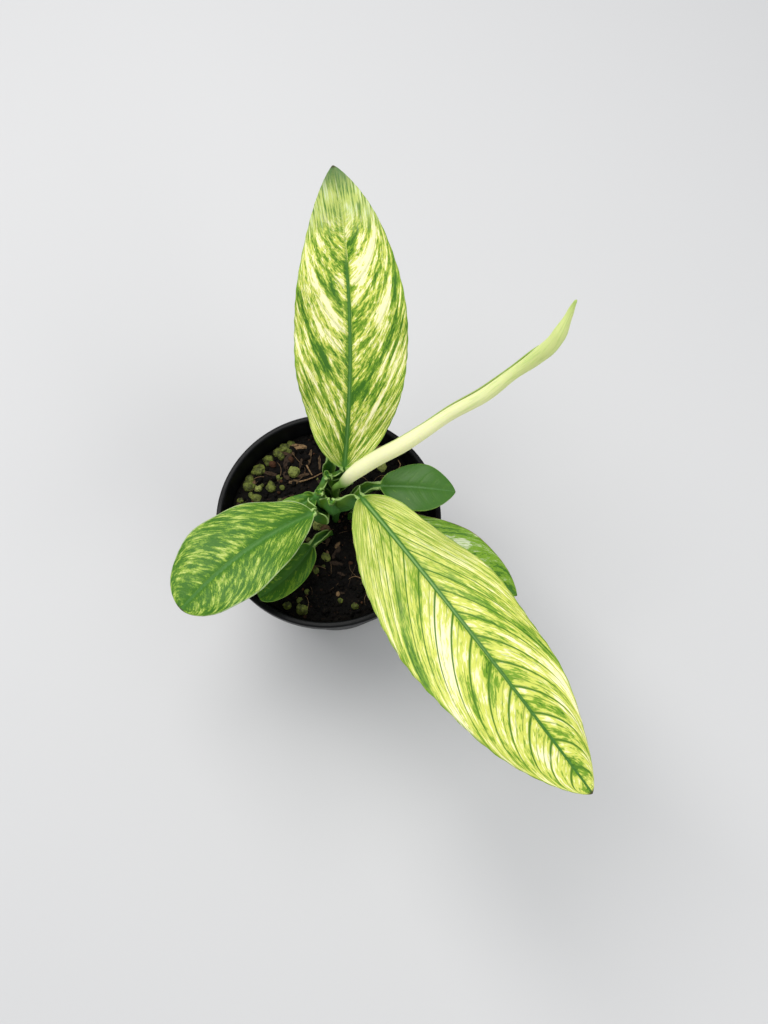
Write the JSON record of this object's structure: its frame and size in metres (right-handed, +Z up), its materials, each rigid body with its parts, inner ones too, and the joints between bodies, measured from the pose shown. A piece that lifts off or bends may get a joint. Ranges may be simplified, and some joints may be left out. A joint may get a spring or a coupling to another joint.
{
  "type": "potted peace lily",
  "caption": "Young variegated peace lily with broad pointed leaves and one rolled leaf, rooted in soil in a small round nursery pot that stands on its flat base.",
  "frame": {"origin": "centre of the pot's flat underside", "axes": "+Z up along the pot's axis; +Y away from the picture's viewer, towards the upright leaf; +X to the viewer's right"},
  "size_m": [0.1449, 0.2068, 0.1905],
  "materials": {
    "black_plastic": "thin black pot plastic with a faint sheen",
    "potting_soil": "dark peat and bark mix with green and tan granules",
    "cream_leaf": "satin leaf streaked cream, lime and green",
    "flecked_leaf": "satin green leaf with fine yellow flecks",
    "green_leaf": "satin mid to dark green leaf",
    "pale_leaf": "satin pale yellow green, still rolled"
  },
  "bodies": {
    "root": {"pot": "black_plastic", "soil": "potting_soil", "leaf_upright": "cream_leaf", "leaf_large": "cream_leaf", "leaf_left": "flecked_leaf", "leaf_right_small": "green_leaf", "leaf_right_back": "green_leaf", "leaf_front_left": "green_leaf", "leaf_centre_small": "green_leaf", "leaf_behind": "green_leaf", "leaf_rolled": "pale_leaf"}
  },
  "joints": []
}
